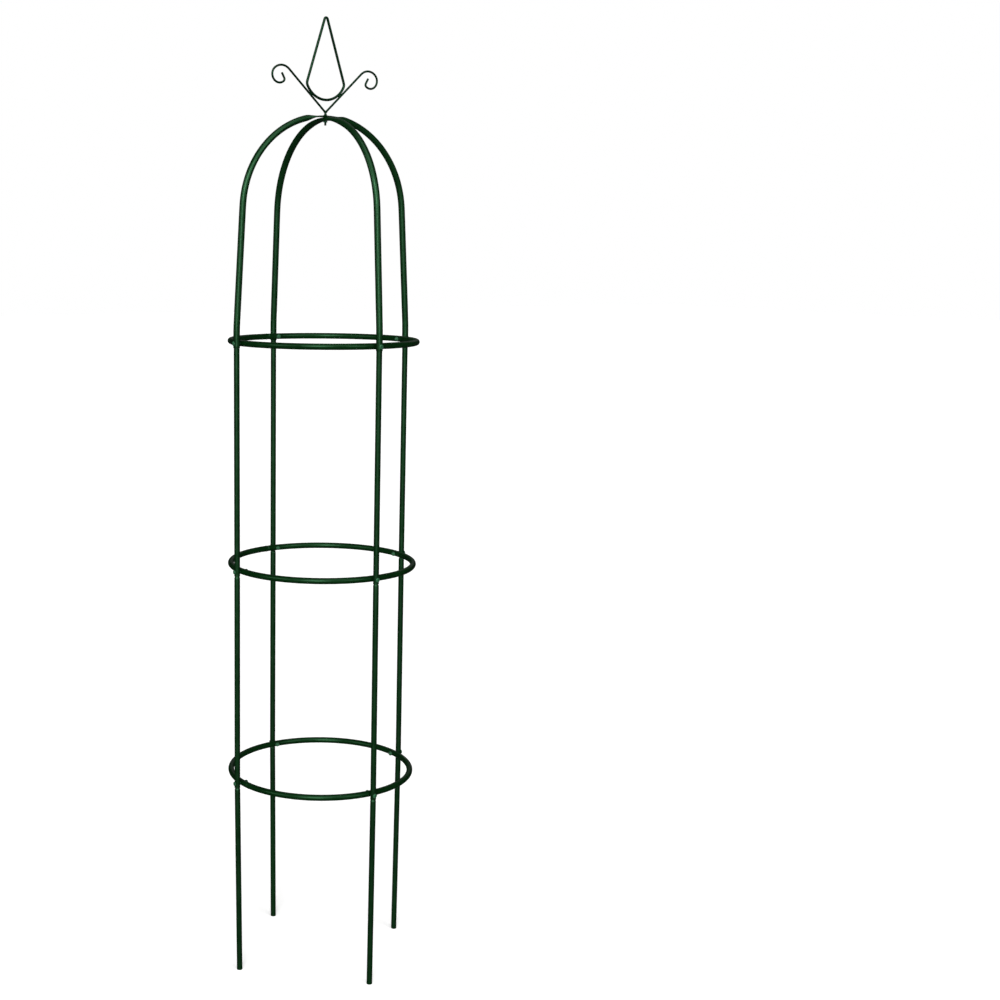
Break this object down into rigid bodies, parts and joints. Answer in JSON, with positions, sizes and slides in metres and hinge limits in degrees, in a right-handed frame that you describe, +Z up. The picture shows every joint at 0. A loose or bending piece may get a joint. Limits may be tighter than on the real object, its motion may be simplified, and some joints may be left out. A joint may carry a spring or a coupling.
{
  "type": "garden obelisk",
  "caption": "Free-standing round obelisk trellis of green coated steel tube, with hoops around plug-together posts, arches crossing at the top and a wire scroll finial, for climbing plants.",
  "frame": {"origin": "middle of the four feet, on the ground plane", "axes": "+Z up; posts a, b, c and d stand at +X, +Y, -X and -Y; the upper arch and the finial lie in the XZ plane"},
  "size_m": [0.4334, 0.4334, 2],
  "materials": {
    "post_coat": "satin",
    "hoop_coat": "satin",
    "arch_coat": "satin",
    "wire_coat": "satin",
    "fastener_coat": "satin"
  },
  "bodies": {
    "root": {"arch_lower": "arch_coat", "arch_upper": "arch_coat", "finial_nut": "fastener_coat", "finial_scroll_left": "wire_coat", "finial_scroll_right": "wire_coat", "finial_stud": "wire_coat", "finial_teardrop": "wire_coat", "hoop_bottom": "hoop_coat", "hoop_middle": "hoop_coat", "hoop_top": "hoop_coat", "leg_a": "post_coat", "leg_b": "post_coat", "leg_c": "post_coat", "leg_d": "post_coat", "middle_post_a": "post_coat", "middle_post_b": "post_coat", "middle_post_c": "post_coat", "middle_post_d": "post_coat", "nut_bottom_a": "fastener_coat", "nut_bottom_b": "fastener_coat", "nut_bottom_c": "fastener_coat", "nut_bottom_d": "fastener_coat", "nut_middle_a": "fastener_coat", "nut_middle_b": "fastener_coat", "nut_middle_c": "fastener_coat", "nut_middle_d": "fastener_coat", "nut_top_a": "fastener_coat", "nut_top_b": "fastener_coat", "nut_top_c": "fastener_coat", "nut_top_d": "fastener_coat", "screw_bottom_a": "fastener_coat", "screw_bottom_b": "fastener_coat", "screw_bottom_c": "fastener_coat", "screw_bottom_d": "fastener_coat", "screw_middle_a": "fastener_coat", "screw_middle_b": "fastener_coat", "screw_middle_c": "fastener_coat", "screw_middle_d": "fastener_coat", "screw_top_a": "fastener_coat", "screw_top_b": "fastener_coat", "screw_top_c": "fastener_coat", "screw_top_d": "fastener_coat", "upper_post_a": "post_coat", "upper_post_b": "post_coat", "upper_post_c": "post_coat", "upper_post_d": "post_coat"}
  },
  "joints": []
}
